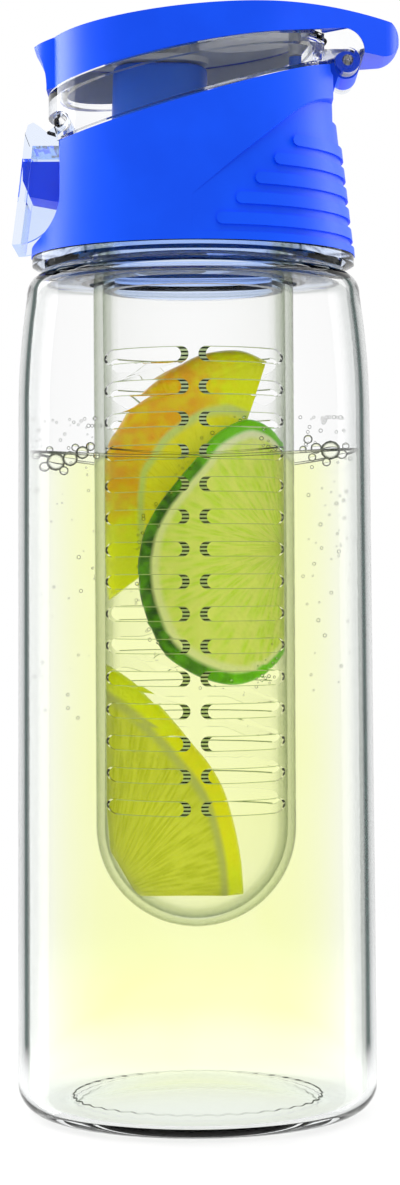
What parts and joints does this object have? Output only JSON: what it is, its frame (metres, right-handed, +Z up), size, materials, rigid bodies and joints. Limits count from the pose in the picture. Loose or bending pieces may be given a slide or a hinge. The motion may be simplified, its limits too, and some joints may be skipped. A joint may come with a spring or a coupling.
{
  "type": "fruit infuser water bottle",
  "caption": "Clear water bottle with a slotted fruit basket hung from its lid, and a hinged flip cap over a drinking spout, held by a latch clip.",
  "frame": {"origin": "the middle of the foot, on the surface that the bottle stands on", "axes": "+Z up along the bottle's axis, +X towards the cap's hinge, -X towards the latch, -Y the front"},
  "size_m": [0.0811, 0.0754, 0.2296],
  "materials": {
    "clear_bottle": "clear polished copolyester",
    "clear_basket": "clear polished copolyester",
    "clear_lid": "clear polished",
    "clear_cap": "clear polished",
    "clear_latch": "clear polished",
    "blue_casing": "fine satin",
    "blue_cover": "satin gloss",
    "blue_spout": "satin",
    "silicone": "soft translucent silicone",
    "clear_pin": "clear polished"
  },
  "bodies": {
    "bottle": {"bottle_body": "clear_bottle"},
    "lid_ring": {"neck_seal": "silicone"},
    "lid": {"lid_liner": "clear_lid", "basket_seal": "silicone", "lid_casing": "blue_casing", "drink_deck": "clear_lid", "drink_spout": "blue_spout", "spout_seal": "silicone", "vent_valve": "blue_spout", "hinge_pin": "clear_pin"},
    "basket": {"infuser_basket": "clear_basket"},
    "flip_cap": {"cap_shell": "clear_cap", "cap_cover": "blue_cover", "spout_plug": "silicone", "vent_plug": "silicone", "latch_pin": "clear_pin"},
    "latch": {"latch_clip": "clear_latch"}
  },
  "joints": [
    {"name": "lid_lift", "type": "slide", "parent": "bottle", "child": "lid_ring", "axis": [0, 0, 1], "range_m": [0, 0.16]},
    {"name": "lid_turn", "type": "hinge", "parent": "lid_ring", "child": "lid", "pos_m": [0, 0, 0.19], "axis": [0, 0, 1], "range_deg": [0, 450]},
    {"name": "basket_draw", "type": "slide", "parent": "lid", "child": "basket", "axis": [0, 0, 1], "range_m": [-0.026, 0]},
    {"name": "cap_hinge", "type": "hinge", "parent": "lid", "child": "flip_cap", "pos_m": [0.032, 0, 0.21767], "axis": [0, 1, 0], "range_deg": [0, 98]},
    {"name": "latch_swing", "type": "hinge", "parent": "flip_cap", "child": "latch", "pos_m": [-0.0265, 0, 0.20549], "axis": [0, 1, 0], "range_deg": [0, 50]}
  ]
}
